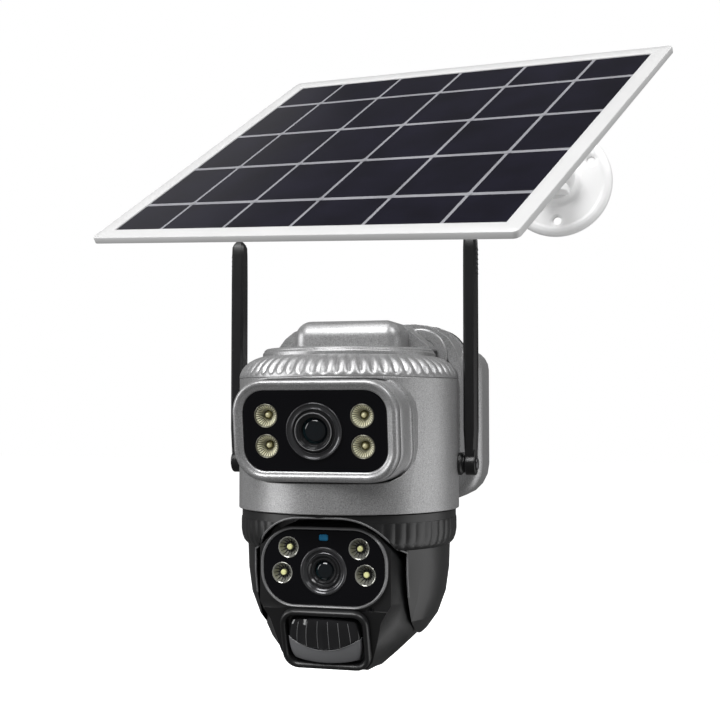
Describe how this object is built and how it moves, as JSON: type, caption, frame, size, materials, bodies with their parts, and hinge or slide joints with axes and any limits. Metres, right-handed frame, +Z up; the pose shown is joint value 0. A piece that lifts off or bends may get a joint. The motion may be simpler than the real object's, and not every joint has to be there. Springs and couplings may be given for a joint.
{
  "type": "solar-powered security camera",
  "caption": "Wall-mounted outdoor camera: fixed lens pod above a pan-and-tilt lens head, folding antennas, and a framed solar panel on its own wall arm.",
  "frame": {"origin": "middle of the back face of the camera's wall plate, on the wall", "axes": "+X to the right seen from in front of the camera, +Y into the wall, +Z up; the camera looks along -Y"},
  "size_m": [0.2862, 0.2553, 0.3368],
  "materials": {
    "silver": "fine metallic paint, satin",
    "black": "satin",
    "gloss_black": "polished",
    "white": "smooth gloss",
    "cells": "laminated, glossy",
    "glass": "coated",
    "reflector": "ribbed mirror",
    "steel": "satin",
    "board": "solder mask",
    "nylon": "moulded",
    "battery": "shrink wrap",
    "rubber": "soft matt",
    "blue": "translucent",
    "grey_lens": "moulded, translucent look"
  },
  "bodies": {
    "mount": {"antenna_base_left": "black", "antenna_base_right": "black", "battery_cell_1": "battery", "battery_cell_2": "battery", "battery_holder": "black", "bracket_arm": "silver", "charge_board": "board", "charging_socket": "steel", "front_shell": "silver", "main_board": "board", "pan_deck": "black", "pan_motor": "steel", "pod_bezel": "silver", "pod_shell": "silver", "pod_window": "gloss_black", "rear_cover": "silver", "rear_housing": "silver", "swing_bolt": "steel", "top_block": "silver", "top_lid": "silver", "top_ring": "silver", "upper_lamp_1": "reflector", "upper_lamp_2": "reflector", "upper_lamp_3": "reflector", "upper_lamp_4": "reflector", "upper_lens_barrel": "black", "upper_lens_glass": "glass", "wall_flange": "white", "wall_plate": "silver", "wall_screw_1": "steel", "wall_screw_2": "steel"},
    "pan_yoke": {"yoke_frame": "black", "pan_gear": "nylon", "tilt_motor": "steel", "tilt_pin": "steel"},
    "pan_pinion": {"pan_pinion": "nylon"},
    "camera_head": {"head_board": "board", "head_lamp_1": "reflector", "head_lamp_2": "reflector", "head_lamp_3": "reflector", "head_lamp_4": "reflector", "head_lens_barrel": "black", "head_lens_glass": "glass", "head_rim": "black", "head_shell": "black", "head_window": "gloss_black", "pir_lens": "grey_lens", "pir_surround": "black", "status_light": "blue"},
    "antenna_left": {"antenna_blade_left": "black"},
    "antenna_right": {"antenna_blade_right": "black"},
    "solar_arm": {"solar_arm": "white"},
    "solar_knuckle": {"swivel_knuckle": "white", "clamp_knob": "black"},
    "solar_panel": {"panel_frame": "white", "cell_sheet": "cells", "junction_box": "white", "panel_mount": "white"},
    "port_flap": {"port_flap": "rubber"},
    "power_button": {"power_button": "rubber"}
  },
  "joints": [
    {"name": "pan", "type": "hinge", "parent": "mount", "child": "pan_yoke", "pos_m": [0, -0.095, -0.05], "axis": [0, 0, 1], "range_deg": [-177, 177]},
    {"name": "pinion_spin", "type": "hinge", "parent": "mount", "child": "pan_pinion", "pos_m": [0, -0.0698, -0.042], "axis": [0, 0, 1], "range_deg": [-708, 708]},
    {"name": "head_tilt", "type": "hinge", "parent": "pan_yoke", "child": "camera_head", "pos_m": [0, -0.095, -0.08], "axis": [1, 0, 0], "range_deg": [-2, 75]},
    {"name": "antenna_left_fold", "type": "hinge", "parent": "mount", "child": "antenna_left", "pos_m": [-0.0666, -0.089, -0.029], "axis": [1, 0, 0], "range_deg": [-25, 110]},
    {"name": "antenna_right_fold", "type": "hinge", "parent": "mount", "child": "antenna_right", "pos_m": [0.0666, -0.089, -0.029], "axis": [1, 0, 0], "range_deg": [-25, 110]},
    {"name": "arm_swing", "type": "hinge", "parent": "mount", "child": "solar_arm", "pos_m": [0.105, -0.026, 0.138], "axis": [0, 0, 1], "range_deg": [-20, 15]},
    {"name": "arm_swivel", "type": "hinge", "parent": "solar_arm", "child": "solar_knuckle", "pos_m": [0.04462, -0.11322, 0.12408], "axis": [-0.5644, -0.8152, -0.1301], "range_deg": [-20, 20]},
    {"name": "panel_tilt", "type": "hinge", "parent": "solar_knuckle", "child": "solar_panel", "pos_m": [0.03333, -0.12952, 0.12148], "axis": [0.8164, -0.5278, -0.2343], "range_deg": [-15, 20]},
    {"name": "flap_hinge", "type": "hinge", "parent": "mount", "child": "port_flap", "pos_m": [0, -0.0184, -0.0534], "axis": [1, 0, 0], "range_deg": [0, 100]},
    {"name": "power_press", "type": "slide", "parent": "mount", "child": "power_button", "axis": [0, 0, 1], "range_m": [0, 0.001], "stiffness_N_per_m": 400}
  ],
  "couplings": [
    {"joint": "pinion_spin", "follows": "pan", "ratio": -4}
  ]
}
